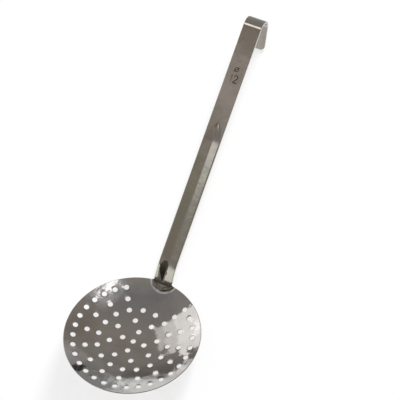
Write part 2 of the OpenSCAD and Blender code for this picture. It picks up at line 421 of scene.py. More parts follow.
def onto_ball(tree, points, radius, height):
    """Drops points onto the inside of a ball whose middle is above the origin."""
    place = tree.nodes.new("GeometryNodeInputPosition").outputs[0]
    flat = vector_math(tree, "MULTIPLY", place, (1, 1, 0))
    out = vector_math(tree, "LENGTH", flat)
    inner = math(tree, "SUBTRACT", math(tree, "MULTIPLY", radius, radius), math(tree, "MULTIPLY", out, out))
    z = math(tree, "SUBTRACT", height, math(tree, "SQRT", inner))
    lifted = vector_math(tree, "ADD", flat, node(tree, "ShaderNodeCombineXYZ", {"Z": z}).outputs[0])
    return node(tree, "GeometryNodeSetPosition", {"Geometry": points, "Position": lifted}).outputs[0]


def holes_tree():
    tree = bpy.data.node_groups.new("drain holes", "GeometryNodeTree")
    socket(tree, "Shell", "NodeSocketGeometry")
    for name in ("Pitch", "Keep-out radius", "Keep-out x", "Ball radius", "Ball height"):
        socket(tree, name, "NodeSocketFloat", 0.01)
    socket(tree, "Punch", "NodeSocketObject")
    socket(tree, "Metal", "NodeSocketMaterial")
    socket(tree, "Dish", "NodeSocketGeometry", out=True)
    given = tree.nodes.new("NodeGroupInput").outputs
    joined = tree.nodes.new("GeometryNodeJoinGeometry")
    for number, (count, first) in enumerate(RINGS):
        ring = node(tree, "GeometryNodeGroup", node_tree=ring_of_points)
        ring.inputs["Count"].default_value = count
        ring.inputs["First angle"].default_value = first
        tree.links.new(math(tree, "MULTIPLY", given["Pitch"], float(number)), ring.inputs["Radius"])
        tree.links.new(ring.outputs[0], joined.inputs[0])
    place = tree.nodes.new("GeometryNodeInputPosition").outputs[0]
    foot = node(tree, "ShaderNodeCombineXYZ", {"X": given["Keep-out x"]}).outputs[0]
    apart = vector_math(tree, "LENGTH", vector_math(tree, "SUBTRACT", place, foot))
    too_near = node(tree, "FunctionNodeCompare", {0: apart, 1: given["Keep-out radius"]}, operation="LESS_EQUAL")
    kept = node(tree, "GeometryNodeDeleteGeometry", {0: joined.outputs[0], 1: too_near.outputs[0]}, domain="POINT")
    on_ball = onto_ball(tree, kept.outputs[0], given["Ball radius"], given["Ball height"])
    up = node(tree, "ShaderNodeCombineXYZ", {"Z": given["Ball height"]}).outputs[0]
    to_middle = vector_math(tree, "SUBTRACT", up, tree.nodes.new("GeometryNodeInputPosition").outputs[0])
    square = node(tree, "FunctionNodeAlignRotationToVector", {"Vector": to_middle}, axis="Z")
    punch = node(tree, "GeometryNodeObjectInfo", {"Object": given["Punch"]})
    punches = node(tree, "GeometryNodeInstanceOnPoints",
                   {"Points": on_ball, "Instance": punch.outputs["Geometry"], "Rotation": square.outputs[0]})
    real = node(tree, "GeometryNodeRealizeInstances", {0: punches.outputs[0]})
    taken = node(tree, "GeometryNodeMeshBoolean", operation="DIFFERENCE", solver="EXACT")
    tree.links.new(given["Shell"], taken.inputs["Mesh 1"])
    tree.links.new(real.outputs[0], taken.inputs["Mesh 2"])
    finished = node(tree, "GeometryNodeRealizeInstances", {0: taken.outputs[0]})
    metal = node(tree, "GeometryNodeSetMaterial", {"Geometry": finished.outputs[0], "Material": given["Metal"]})
    tree.links.new(metal.outputs[0], tree.nodes.new("NodeGroupOutput").inputs[0])
    return tree


def add_tree(obj, tree, **values):
    """Puts a Geometry Nodes tree on an object, with its inputs set by their identifiers."""
    modifier = obj.modifiers.new(tree.name, "NODES")
    modifier.node_group = tree
    for item in tree.interface.items_tree:
        key = item.name.replace(" ", "_").replace("-", "_")
        if key in values:
            modifier[item.identifier] = values[key]
    return modifier


# %% Punch the drain holes
PUNCH_SIDES, EDGE_ROUND = 28, 0.14


def punch_outline():
    """Middle of the sheet at z = 0. The ends flare by a quarter circle where they leave the sheet."""
    flare = [(HOLE_D / 2 + EDGE_ROUND * (1 - cos(a)), NOSE_R - EDGE_ROUND + EDGE_ROUND * sin(a))
             for a in np.linspace(0, pi / 2.2, 4)]
    flare.append((flare[-1][0] + 0.3, NOSE_R + 0.12))
    upper = flare + [(0, NOSE_R + 0.12)]
    return [(r, -z) for r, z in upper[::-1]] + upper


rings = lathe(punch_outline(), PUNCH_SIDES)
punch = new_object("punch", np.vstack(rings) / 1000, skin(rings))
modifier = add_tree(dish, holes_tree(), Pitch=RING_PITCH / 1000, Punch=punch, Metal=dish_steel,
                    Keep_out_radius=(FOOT_R + FOOT_PLAIN + HOLE_D / 2) / 1000, Keep_out_x=FOOT_X / 1000,
                    Ball_radius=BALL_MID / 1000, Ball_height=BALL_Z / 1000)
baked(dish, [modifier])
bpy.data.objects.remove(punch)
loops = len(dish.data.edges) - len(dish.data.vertices) - len(dish.data.polygons)
print("Drain holes punched:", (loops + 2) // 2)

# %% [markdown]
# ## The press marks of the welds
# A spot weld is squeezed between two round tips, which leave a shallow dimple on each side. The same
# small tree presses both: it puts a large ball at two mirrored places, so that only its cap dips into
# the metal, and takes it out.

# %% The tree that presses the weld marks
def marks_tree():
    tree = bpy.data.node_groups.new("weld marks", "GeometryNodeTree")
    socket(tree, "Metal piece", "NodeSocketGeometry")
    for name in ("X", "Y", "Z", "Tip radius"):
        socket(tree, name, "NodeSocketFloat", 0.01)
    socket(tree, "Metal", "NodeSocketMaterial")
    socket(tree, "Marked piece", "NodeSocketGeometry", out=True)
    given = tree.nodes.new("NodeGroupInput").outputs
    side = math(tree, "SUBTRACT", math(tree, "MULTIPLY", tree.nodes.new("GeometryNodeInputIndex").outputs[0], 2.0), 1.0)
    y = math(tree, "MULTIPLY", given["Y"], side)
    spot = node(tree, "ShaderNodeCombineXYZ", {"X": given["X"], "Y": y, "Z": given["Z"]}).outputs[0]
    points = node(tree, "GeometryNodePoints", {"Count": 2, "Position": spot})
    tip = node(tree, "GeometryNodeMeshUVSphere", {"Segments": 48, "Rings": 40, "Radius": given["Tip radius"]})
    tips = node(tree, "GeometryNodeInstanceOnPoints", {"Points": points.outputs[0], "Instance": tip.outputs[0]})
    real = node(tree, "GeometryNodeRealizeInstances", {0: tips.outputs[0]})
    taken = node(tree, "GeometryNodeMeshBoolean", operation="DIFFERENCE", solver="EXACT")
    tree.links.new(given["Metal piece"], taken.inputs["Mesh 1"])
    tree.links.new(real.outputs[0], taken.inputs["Mesh 2"])
    finished = node(tree, "GeometryNodeRealizeInstances", {0: taken.outputs[0]})
    metal = node(tree, "GeometryNodeSetMaterial", {"Geometry": finished.outputs[0], "Material": given["Metal"]})
    tree.links.new(metal.outputs[0], tree.nodes.new("NodeGroupOutput").inputs[0])
    return tree


weld_marks = marks_tree()
TIP_R, DIMPLE = 3.4, 0.22
weld_y = WELD_STEP / 2
weld_x = (FOOT_X - sqrt(FOOT_R ** 2 - weld_y ** 2) + (BALL_IN - STRIP_T) * sin(FOLD_SLOPE)) / 2
weld_spot = np.array([weld_x, weld_y]) * BALL_IN / (BALL_IN - STRIP_T)
weld_lean, weld_side = asin(hypot(*weld_spot) / BALL_IN), atan2(weld_spot[1], weld_spot[0])


def press_marks(obj, ball_radius, metal):
    """Dimples around both welds, with the tips' middles on a ball of that radius."""
    out, z = ball_point(ball_radius, weld_lean)
    modifier = add_tree(obj, weld_marks, X=out * cos(weld_side) / 1000, Y=out * sin(weld_side) / 1000,
                        Z=z / 1000, Tip_radius=TIP_R / 1000, Metal=metal)
    baked(obj, [modifier])


press_marks(dish, BALL_IN + SHEET_T + TIP_R - DIMPLE, dish_steel)
cleaned(dish)
print("The dish has", len(dish.data.polygons), "faces with its holes and weld marks")

# %% [markdown]
# A polished sheet shows every uneven normal. The punched faces are long and thin, and shading them from
# their neighbours would ripple the reflection. So each corner on the ball gets the ball's own normal,
# each corner on the rolled rim gets the rim's, and only the walls of the holes keep their own.

# %% True normals for the dish
def dish_normals(obj):
    mesh = obj.data
    mesh.polygons.foreach_set("use_smooth", [True] * len(mesh.polygons))
    mesh.set_sharp_from_angle(angle=radians(28))
    corner = np.zeros(len(mesh.loops) * 3)
    mesh.corner_normals.foreach_get("vector", corner)
    corner = corner.reshape(-1, 3)
    points = np.array([v.co for v in mesh.vertices]) * 1000
    from_middle = points - [0, 0, BALL_Z]
    distance = np.linalg.norm(from_middle, axis=1)
    radial = from_middle / distance[:, None]
    out = np.hypot(points[:, 0], points[:, 1])
    nose = points - np.column_stack((points[:, :2] * (NOSE_X / np.maximum(out, 1e-9))[:, None],
                                     np.full(len(points), -NOSE_R)))
    for polygon in mesh.polygons:
        way = np.array(polygon.normal) @ radial[polygon.vertices[0]]
        for loop in polygon.loop_indices:
            v = mesh.loops[loop].vertex_index
            on_ball = min(abs(distance[v] - BALL_IN), abs(distance[v] - BALL_IN - SHEET_T)) < 0.02
            if abs(way) > 0.97 and on_ball:
                corner[loop] = radial[v] * (1 if way > 0 else -1)
            elif abs(np.linalg.norm(nose[v]) - NOSE_R) < 0.02 and out[v] > NOSE_X - 0.3:
                corner[loop] = nose[v] / np.linalg.norm(nose[v])
    return corner


# %% [markdown]
# ## The lips of the holes
# A punch draws the sheet down a little around each hole, which is what bends a reflection there. The lip
# is only a tenth of a millimetre deep, so it is in the finish. The holes follow a rule, so the shader can
# work out how far any point is from the nearest one: a small group does it for a ring, by wrapping the
# angle to the ring's step, and the least of the five rings counts.

# %% The nearest hole of a ring
def nearest_hole_group():
    group = bpy.data.node_groups.new("nearest hole of a ring", "ShaderNodeTree")
    for name in ("Out", "Turn", "Ring radius", "Holes", "First angle", "Keep-out x", "Keep-out radius"):
        socket(group, name, "NodeSocketFloat", 0.0)
    socket(group, "Distance", "NodeSocketFloat", out=True)
    given = group.nodes.new("NodeGroupInput").outputs
    half_step = math(group, "DIVIDE", pi, given["Holes"])
    turned_by = math(group, "SUBTRACT", given["Turn"], given["First angle"])
    wrapped = node(group, "ShaderNodeMath", {0: turned_by, 1: half_step, 2: math(group, "MULTIPLY", half_step, -1.0)},
                   operation="WRAP").outputs[0]
    beside = math(group, "MULTIPLY", wrapped, given["Ring radius"])
    beyond = math(group, "SUBTRACT", given["Out"], given["Ring radius"])
    here = node(group, "ShaderNodeCombineXYZ", {"X": beside, "Y": beyond}).outputs[0]
    angle = math(group, "SUBTRACT", given["Turn"], wrapped)
    x = math(group, "MULTIPLY", math(group, "COSINE", angle), given["Ring radius"])
    y = math(group, "MULTIPLY", math(group, "SINE", angle), given["Ring radius"])
    to_foot = node(group, "ShaderNodeCombineXYZ", {"X": math(group, "SUBTRACT", x, given["Keep-out x"]), "Y": y}).outputs[0]
    missing = math(group, "LESS_THAN", vector_math(group, "LENGTH", to_foot), given["Keep-out radius"])
    distance = math(group, "ADD", vector_math(group, "LENGTH", here), math(group, "MULTIPLY", missing, 100.0))
    group.links.new(distance, group.nodes.new("NodeGroupOutput").inputs[0])
    return group


# %% Lips, a dented rim and a matt ring round the foot
LIP_DEPTH, LIP_WIDTH = 0.085, 0.9
nearest_hole = nearest_hole_group()


def finish_dish(material):
    """Adds to the steel what follows the dish's own shape. Lengths are in millimetres."""
    tree = material.node_tree
    shader, bump, finish = tree.nodes["Principled BSDF"], tree.nodes["Bump"], tree.nodes["Group"]
    move = Vector((MIDDLE_X * cos(LIE) - TABLE_Z * sin(LIE), 0, MIDDLE_X * sin(LIE) + TABLE_Z * cos(LIE)))
    place = node(tree, "ShaderNodeMapping", {"Vector": tree.nodes["Texture Coordinate"].outputs["Object"],
                                             "Location": move, "Rotation": (0, -LIE, 0),
                                             "Scale": (1000, 1000, 1000)}).outputs[0]
    level = vector_math(tree, "MULTIPLY", place, (1, 1, 0))
    parts = node(tree, "ShaderNodeSeparateXYZ", {0: level}).outputs
    out, turn = vector_math(tree, "LENGTH", level), math(tree, "ARCTAN2", parts["Y"], parts["X"])
    nearest = out
    for number, (count, first) in enumerate(RINGS[1:], 1):
        ring = node(tree, "ShaderNodeGroup", node_tree=nearest_hole)
        tree.links.new(out, ring.inputs["Out"])
        tree.links.new(turn, ring.inputs["Turn"])
        for key, value in (("Ring radius", number * RING_PITCH), ("Holes", count), ("First angle", first),
                           ("Keep-out x", FOOT_X), ("Keep-out radius", FOOT_R + FOOT_PLAIN + HOLE_D / 2)):
            ring.inputs[key].default_value = value
        nearest = math(tree, "MINIMUM", nearest, ring.outputs[0])
    past_edge = math(tree, "MAXIMUM", math(tree, "SUBTRACT", nearest, HOLE_D / 2), 0.0)
    lip = math(tree, "EXPONENT", math(tree, "DIVIDE", past_edge, -LIP_WIDTH))
    height = math(tree, "SUBTRACT", finish.outputs["Height"], math(tree, "MULTIPLY", lip, LIP_DEPTH))
    tree.links.new(height, bump.inputs["Height"])
    tree.links.new(scaled(tree, out, 36.0, 56.0, 0.07, 0.12), finish.inputs["Waves"])
    to_foot = vector_math(tree, "LENGTH", vector_math(tree, "SUBTRACT", level, (FOOT_X, 0, 0)))
    beside_foot = math(tree, "SUBTRACT", to_foot, FOOT_R)
    ring = math(tree, "MULTIPLY", scaled(tree, beside_foot, 0.0, 0.5), scaled(tree, beside_foot, 1.3, 2.3, 1.0, 0.0))
    tree.links.new(math(tree, "SUBTRACT", 1.0, math(tree, "MULTIPLY", ring, 0.35)), shader.inputs["Metallic"])


finish_dish(dish_steel)
print("Nodes in the dish's finish:", len(dish_steel.node_tree.nodes))

# %% Put the dish in its place
corners = dish_normals(dish)
flat_points = np.array([v.co for v in dish.data.vertices]) * 1000
dish.data.vertices.foreach_set("co", on_table(flat_points).ravel())
dish.data.normals_split_custom_set([tuple(n) for n in turned(corners)])
dish.data.update()
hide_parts("dish")
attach(dish, "root")

# %% [markdown]
# ## The strip
# The handle is one strip of steel, bent and pressed. A profile swept along a curve would give the bends,
# but not the groove, which lifts out of the metal towards the hook and sinks back towards the fold. So
# the strip is skinned from stations: at each one, the section is worked out afresh from the depth that
# the groove has there. The groove is a V that keeps its own path, and its edges are softened, because
# pressed metal has no sharp ones.

# %% The section of the strip
FLANK = atan(GROOVE_DEPTH / (HALF_W - GROOVE_LAND))
FRONT_VEE, BACK_VEE = HALF_T - GROOVE_DEPTH, -HALF_T - GROOVE_DEPTH
NO_VEE, SOFTNESS = 9.0, 0.045


def soft_min(a, b):
    return (a + b - np.sqrt((a - b) ** 2 + 4 * SOFTNESS ** 2)) / 2


def vee_face(u, face, bottom):
    """Height of a face of the strip where a V of that bottom is pressed into it."""
    arc_y = bottom + GROOVE_R / cos(FLANK)
    round_part = arc_y - np.sqrt(np.maximum(GROOVE_R ** 2 - u ** 2, 0))
    vee = np.where(np.abs(u) < GROOVE_R * sin(FLANK), round_part, bottom + np.abs(u) * tan(FLANK))
    pressed = soft_min(face, vee)
    edge = np.clip((HALF_W - STRIP_EDGE_R - np.abs(u)) / 0.4, 0, 1)
    return face + (pressed - face) * edge


HALF_SAMPLES = np.array([0, .25, .5, .75, 1, 1.3, 1.7, 2.3, 3.1, 4, 5, 5.8, 6.3, 6.6, 6.85, 7.05, 7.2, 7.35,
                         7.5, 7.65, 7.8, 7.92, 8.0])
SAMPLES = np.concatenate((-HALF_SAMPLES[:0:-1], HALF_SAMPLES)) / (HALF_W - STRIP_EDGE_R)
CORNER_TURNS = np.linspace(0, pi / 2, 7)[1:-1]


def section(half_w, half_t, edge_r, front, back):
    """Points (across the width, through the thickness) once round the strip, from the left of its front."""
    u = SAMPLES * (half_w - edge_r)
    top, bottom = vee_face(u, half_t, front), vee_face(u, -half_t, back)
    right_top = [(half_w - edge_r + edge_r * sin(a), half_t - edge_r + edge_r * cos(a)) for a in CORNER_TURNS]
    right_bottom = [(x, -y) for x, y in right_top[::-1]]
    sides = [(half_w, half_t - edge_r), (half_w, edge_r - half_t)]
    right = right_top + sides + right_bottom
    left = [(-x, y) for x, y in right[::-1]]
    return list(zip(u, top)) + right + list(zip(u[::-1], bottom[::-1])) + left


# %% [markdown]
# The stations follow the middle line from inside the foot, up the fold, along the neck and the grip, and
# round the hook. Where the strip bends or the groove changes they lie close together. At the hook's end
# the section narrows along the two rounded corners, and thins over the last half millimetre, so that the
# edge all round the end is rounded like the long edges.

# %% The groove's depth along the strip
out_path_r = RUN_OUT_R + FRONT_VEE
groove_len = GRIP_LEN - FLAT_LEN - RUN_OUT_R * sin(acos(1 - GROOVE_DEPTH / RUN_OUT_R))
neck_turn = NECK_ANGLE - GRIP_ANGLE
shallow_end = (NECK_R + HALF_T) * along(pi / 2 + neck_turn - GROOVE_GAP / NECK_R) - [0, NECK_R]
vee_neck_r = (FRONT_VEE ** 2 - shallow_end @ shallow_end) / (2 * (shallow_end[1] - FRONT_VEE))


def vee_on_neck(turn, bottom):
    """The V's bottom, from the strip's middle line, that far round the neck from the grip."""
    apart, radius = vee_neck_r - NECK_R, vee_neck_r + bottom
    return sqrt(radius ** 2 - (apart * sin(turn)) ** 2) - apart * cos(turn) - NECK_R


def vee_on_grip(distance, bottom):
    past = max(distance - groove_len, 0)
    radius = out_path_r - bottom
    return out_path_r - sqrt(radius ** 2 - past ** 2) if past < 30 else NO_VEE


# %% Stations from the foot to the hook's end
INNER_STEP, BEND_THINNING = 0.03, 0.015
stations = []


def station(point, slope, front=NO_VEE, back=NO_VEE, half_w=HALF_W, half_t=HALF_T, edge_r=STRIP_EDGE_R):
    stations.append((point, slope, section(half_w, half_t, edge_r, front, back)))


for angle in np.linspace(FOLD_SLOPE - 2.2 / BALL_IN, FOLD_SLOPE, 4)[:-1]:
    station(ball_point(BALL_IN - HALF_T, angle), angle, half_t=HALF_T - INNER_STEP)
for slope in np.linspace(FOLD_SLOPE, NECK_ANGLE, 13)[:-1]:
    rise = 0.8 * (1 - (slope - FOLD_SLOPE) / (NECK_ANGLE - FOLD_SLOPE))
    grown = HALF_T - INNER_STEP * min(rise / 0.2, 1)
    station(fold_centre - FOLD_MID * across(slope), slope, vee_on_neck(neck_turn, FRONT_VEE) + rise,
            vee_on_neck(neck_turn, BACK_VEE) + rise, half_t=grown)
for slope in np.linspace(NECK_ANGLE, GRIP_ANGLE, 41)[:-1]:
    turn = slope - GRIP_ANGLE
    station(neck_centre + NECK_R * across(slope), slope, vee_on_neck(turn, FRONT_VEE), vee_on_neck(turn, BACK_VEE))
grip_steps = np.concatenate((np.linspace(0, groove_len, 36)[:-1], np.linspace(groove_len, groove_len + 32, 49)[:-1],
                             np.linspace(groove_len + 32, GRIP_LEN, 22)[:-1]))
for distance in grip_steps:
    station(neck_end + distance * along(GRIP_ANGLE), GRIP_ANGLE, vee_on_grip(distance, FRONT_VEE),
            vee_on_grip(distance, BACK_VEE))
for share in np.linspace(0, 1, 64)[:-1]:
    slope = GRIP_ANGLE - share * HOOK_TURN
    station(hook_centre + HOOK_MID * across(slope), slope, half_t=HALF_T - BEND_THINNING * sin(share * pi))

# %% The rounded end of the hook
slim = HALF_T - SEAM_STEP
for distance in np.linspace(0, HOOK_LEG - HOOK_CORNER_R, 8)[:-1]:
    thickness = HALF_T - SEAM_STEP * min(distance / 2, 1)
    station(leg_start + distance * along(LEG_ANGLE), LEG_ANGLE, half_t=thickness)
round_from = HOOK_LEG - HOOK_CORNER_R
END_R = 0.45
for share in np.linspace(0, 1, 28):
    turn = share * pi / 2
    distance = round_from + HOOK_CORNER_R * sin(turn)
    narrowed = HALF_W - HOOK_CORNER_R * (1 - cos(turn))
    into_end = max(0, distance - (HOOK_LEG - END_R)) / END_R
    inset = END_R * (1 - sqrt(1 - into_end ** 2))
    station(leg_start + distance * along(LEG_ANGLE), LEG_ANGLE, half_w=narrowed - inset, half_t=slim - inset,
            edge_r=min(STRIP_EDGE_R, slim - inset - 0.02))
print("Stations along the strip:", len(stations))

# %% Skin the strip
def strip_mesh():
    rings = []
    for point, slope, outline in stations:
        side, ahead = across(slope), point
        rings.append([(ahead[0] + v * side[0], u, ahead[1] + v * side[1]) for u, v in outline])
    faces = skin(rings)
    count = len(rings[0])
    faces.append(tuple(range(count)))
    faces.append(tuple(range((len(rings) - 1) * count, len(rings) * count)))
    return new_object("strip", np.vstack([np.array(r) for r in rings]) / 1000, faces)


strip = strip_mesh()
print("The strip has", len(strip.data.polygons), "faces")

# %% [markdown]
# ## The foot
# At its end the strip is spread into a spade that lies on the inside of the dish. Seen from above, its
# outline is a large circle, cut short by the rim, with a notch where the strip folds up. The outline is
# filled with small triangles by a constrained triangulation and dropped onto the ball, once for the top
# and once for the bottom. Its upper edge is rounded in a few steps, each drawn a little further in.

# %% The foot's outline
FOOT_EDGE_R, FOOT_STEPS, GRID = 0.4, 5, 0.9


def foot_outline():
    """Points once round the foot, counterclockwise as seen from above, in millimetres."""
    limit = RIM_R - FOOT_SET_IN
    tip_x = (limit ** 2 + FOOT_X ** 2 - FOOT_R ** 2) / (2 * FOOT_X)
    tip_y = sqrt(limit ** 2 - tip_x ** 2)
    notch_y, notch_x = HALF_W - STRIP_EDGE_R - 0.5, fold_start[0] + 0.5
    turn = atan2(tip_y, tip_x - FOOT_X)
    spade = [(FOOT_X + FOOT_R * cos(a), FOOT_R * sin(a)) for a in np.linspace(turn, 2 * pi - turn, 90)]
    spade = spade[4:-4]
    start, end = -asin(tip_y / limit), -asin(notch_y / limit)
    right = [(limit * cos(a), limit * sin(a)) for a in np.linspace(start, end, 8)[5::2]]
    a, b, c = np.array(spade[-1]), np.array([tip_x, -tip_y]), np.array(right[0])
    shoulder = [tuple((1 - t) ** 2 * a + 2 * t * (1 - t) * b + t ** 2 * c) for t in np.linspace(0, 1, 8)[1:-1]]
    right = shoulder + right
    notch = [(notch_x, -notch_y + s * 2 * notch_y) for s in np.linspace(0, 1, 16)]
    left = [(x, -y) for x, y in right[::-1]]
    return np.array(spade + right + notch + left)


def inset(outline, distance):
    """The outline moved inwards. The points run counterclockwise."""
    before, after = np.roll(outline, 1, axis=0), np.roll(outline, -1, axis=0)
    a, b = outline - before, after - outline
    a, b = a / np.linalg.norm(a, axis=1)[:, None], b / np.linalg.norm(b, axis=1)[:, None]
    left_a, left_b = np.column_stack((-a[:, 1], a[:, 0])), np.column_stack((-b[:, 1], b[:, 0]))
    middle = left_a + left_b
    stretch = np.maximum((middle * left_a).sum(axis=1), 0.6)
    return outline + distance * middle / stretch[:, None]


def inside(points, outline):
    """Which points lie inside a closed outline."""
    hit = np.zeros(len(points), bool)
    for (x0, y0), (x1, y1) in zip(outline, np.roll(outline, -1, axis=0)):
        crosses = (y0 > points[:, 1]) != (y1 > points[:, 1])
        with np.errstate(divide="ignore", invalid="ignore"):
            x = x0 + (points[:, 1] - y0) / (y1 - y0) * (x1 - x0)
        hit ^= crosses & (points[:, 0] < x)
    return hit


outline = foot_outline()
print("The foot's outline has", len(outline), "points")

# %% Fill the outline and drop it onto the ball
def sphere_z(points, radius):
    return BALL_Z - np.sqrt(radius ** 2 - (points ** 2).sum(axis=1))


def foot_mesh():
    top_r, bottom_r = BALL_IN - STRIP_T, BALL_IN + 0.04
    last = inset(outline, FOOT_EDGE_R)
    xs = np.arange(outline[:, 0].min(), outline[:, 0].max(), GRID)
    ys = np.arange(outline[:, 1].min(), outline[:, 1].max(), GRID * 0.87)
    grid = np.array([(x + (j % 2) * GRID / 2, y) for j, y in enumerate(ys) for x in xs])
    grid = grid[inside(grid, inset(outline, FOOT_EDGE_R + 0.45))]
    n = len(last)
    flat = [Vector(p) for p in np.vstack((last, grid))]
    result = delaunay_2d_cdt(flat, [(i, (i + 1) % n) for i in range(n)], [], 1, 1e-6)
    points, triangles = np.array(result[0]), [tuple(t) for t in result[2]]
    assert len(points) == len(flat), "the triangulation added or merged points"
    rings = [np.column_stack((last, sphere_z(last, bottom_r))), np.column_stack((outline, sphere_z(outline, bottom_r)))]
    for turn in np.linspace(0, pi / 2, FOOT_STEPS + 1)[:-1]:
        ring = inset(outline, FOOT_EDGE_R * (1 - cos(turn)))
        rings.append(np.column_stack((ring, sphere_z(ring, top_r + FOOT_EDGE_R * (1 - sin(turn))))))
    first_top = n * len(rings)
    rings.append(np.column_stack((last, sphere_z(last, top_r))))
    faces = skin(rings)
    inner = points[n:]
    top_inner, bottom_inner = first_top + n, first_top + n + len(inner)
    everything = rings + [np.column_stack((inner, sphere_z(inner, top_r))),
                          np.column_stack((inner, sphere_z(inner, bottom_r)))]
    for a, b, c in triangles:
        faces.append(tuple(first_top + i if i < n else top_inner + i - n for i in (a, b, c)))
        faces.append(tuple(i if i < n else bottom_inner + i - n for i in (c, b, a)))
    return new_object("foot", np.vstack(everything) / 1000, faces)


foot = foot_mesh()
print("The foot has", len(foot.data.polygons), "faces")

# %% [markdown]
# The foot and the strip are one piece of metal, so they are joined by a union, and then the welds' marks
# are pressed into the foot's top.

# %% Join the strip and the foot
modifier = strip.modifiers.new("join", "BOOLEAN")
modifier.operation, modifier.solver, modifier.object = "UNION", "EXACT", foot
baked(strip, [modifier])
bpy.data.objects.remove(foot)
press_marks(strip, BALL_IN - STRIP_T - TIP_R + DIMPLE, strip_steel)
print("Joined, the handle has", len(strip.data.polygons), "faces")

# %% [markdown]
# ## The size mark
# Near the hook the strip is stamped with the size of the dish: a diameter sign, and below it the number
# 12. A stamp leaves a shallow furrow with a round bottom. Here each stroke is a line with a round
# section, sunk halfway into the front of the strip, and taken out of the metal.

# %% Strokes of the size mark
MARK_AT, DEEP, SHALLOW, FAINT = 165.6, 0.42, 0.33, 0.24


def arc(x, y, radius, first, last, steps, squeeze=1.0):
    turns = np.linspace(radians(first), radians(last), steps)
    return [(x + radius * squeeze * cos(a), y + radius * sin(a)) for a in turns]


two = arc(0, 1.7, 1.55, 165, -32, 14) + [(-1.55, -3.25)]
base = [(-1.55, -3.25), (1.75, -3.25)]
flag, stem = [(-1.0, 1.9), (0.25, 3.2)], [(0.25, 3.2), (0.25, -3.3)]
ring = arc(0, 0, 1.75, 0, 360, 29)
slash = [(-2.1, -2.1), (2.1, 2.1)]
STROKES = [(two, 1.75, -0.2, DEEP), (base, 1.75, -0.2, DEEP), (flag, -2.5, 0.0, FAINT),
           (stem, -2.5, 0.0, FAINT), (ring, -0.2, 8.2, SHALLOW), (slash, -0.2, 8.2, SHALLOW)]
front = np.array([across(GRIP_ANGLE)[0], 0, across(GRIP_ANGLE)[1]])


def stroke(points, right, up, radius):
    """A closed tube along the points, in the strip's front face. The hook is at the top of the mark."""
    path = []
    for x, y in points:
        spot = neck_end + (MARK_AT + up + y) * along(GRIP_ANGLE) + (HALF_T + 0.08) * across(GRIP_ANGLE)
        path.append((spot[0], -(right + x), spot[1]))
    path = np.array(path)
    loop = np.allclose(path[0], path[-1])
    rings = []
    for i, point in enumerate(path):
        before = path[i - 1] if i else (path[-2] if loop else path[0])
        after = path[i + 1] if i + 1 < len(path) else (path[1] if loop else path[-1])
        ahead = (after - before) / np.linalg.norm(after - before)
        side = np.cross(ahead, front)
        ends = [] if loop else [-1] * (i == 0) + [1] * (i == len(path) - 1)
        tube = [point + radius * (cos(a) * side + sin(a) * front) for a in np.arange(12) * pi / 6]
        cap = [[point + 0.7 * (p - point) + 0.7 * radius * way * ahead for p in tube] for way in ends]
        pole = [[point + radius * way * ahead] for way in ends]
        rings += pole + cap + [tube] if ends == [-1] else [tube] + cap + pole
    if not loop:
        return new_object("stroke", np.vstack([np.array(r) for r in rings]) / 1000, skin(rings))
    faces = [tuple(i % (12 * (len(rings) - 1)) for i in face) for face in skin(rings)]
    return new_object("stroke", np.vstack([np.array(r) for r in rings[:-1]]) / 1000, faces)


# The strokes carry the dark stamped steel into the furrows, so the mark is painted dark.
for points, right, up, radius in STROKES:
    cutter = stroke(points, right, up, radius)
    cutter.data.materials.append(stamp_steel)
    cut(strip, cutter)
cleaned(strip)
print("Strokes stamped:", len(STROKES))

# %% [markdown]
# The strip is shaded smooth, and only edges sharper than a bend stay sharp. Then it goes to its place on
# the table.

# %% Finish the handle
strip.name = "strip_handle"
strip.data.polygons.foreach_set("use_smooth", [True] * len(strip.data.polygons))
strip.data.set_sharp_from_angle(angle=radians(33))
handle_points = np.array([v.co for v in strip.data.vertices]) * 1000
# A painted dark reflection: this mask darkens the colour over the foot and the fold, and in a patch on the neck.
from_ball = np.linalg.norm(handle_points - [0, 0, BALL_Z], axis=1)
dark_reflection = np.clip((from_ball - (BALL_IN - STRIP_T - 3.0)) / 1.2, 0, 1) * (handle_points[:, 0] < neck_end[0])
from_tint = np.hypot((handle_points[:, 1] - 2.5) / 4.0, (handle_points[:, 0] - 64) / 7.5)
dark_reflection = np.maximum(dark_reflection, np.clip((1.3 - from_tint) * 1.6, 0, 1))
strip.data.attributes.new("dark_reflection", "FLOAT", "POINT").data.foreach_set("value", dark_reflection)
strip.data.vertices.foreach_set("co", on_table(handle_points).ravel())
strip.data.update()
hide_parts("handle")
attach(strip, "root")

# %% [markdown]
# ## The welds
# Between the dimples the metal of foot and dish has run together. Each weld is a slug with slightly
# hollow ends, a little darker than the sheet around it, because the heat has tinted it.

# %% Weld slugs
def weld_points(side):
    low, high = BALL_IN + SHEET_T - WELD_MARK, BALL_IN - STRIP_T + WELD_MARK
    radii = WELD_D / 2 * np.array([1, 0.97, 0.9, 0.6, 0.3])
    outline = [(0, low - 0.03)] + [(r, low - 0.03 * (1 - r / 1.2)) for r in radii[::-1]]
    outline += [(r, high + 0.03 * (1 - r / 1.2)) for r in radii] + [(0, high + 0.03)]
    out = np.array([sin(weld_lean) * cos(weld_side), side * sin(weld_lean) * sin(weld_side), -cos(weld_lean)])
    flat = np.cross(out, [0, 1, 0])
    flat /= np.linalg.norm(flat)
    other = np.cross(out, flat)
    rings = []
    for r, distance in outline:
        turns = np.arange(32 if r else 1) * pi / 16
        rings.append([np.array([0, 0, BALL_Z]) + distance * out + r * (cos(a) * flat + sin(a) * other) for a in turns])
    return rings


both = [weld_points(side) for side in (-1, 1)]
points, faces = [], []
for rings in both:
    faces += [tuple(i + len(points) for i in face) for face in skin(rings)]
    points += [p for ring in rings for p in ring]
welds = new_object("weld_slugs", on_table(points), faces)
welds.data.polygons.foreach_set("use_smooth", [True] * len(welds.data.polygons))
welds.data.set_sharp_from_angle(angle=radians(40))
welds.data.materials.append(weld_steel)
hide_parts("spot_welds")
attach(welds, "root")
print("Welds:", len(both))
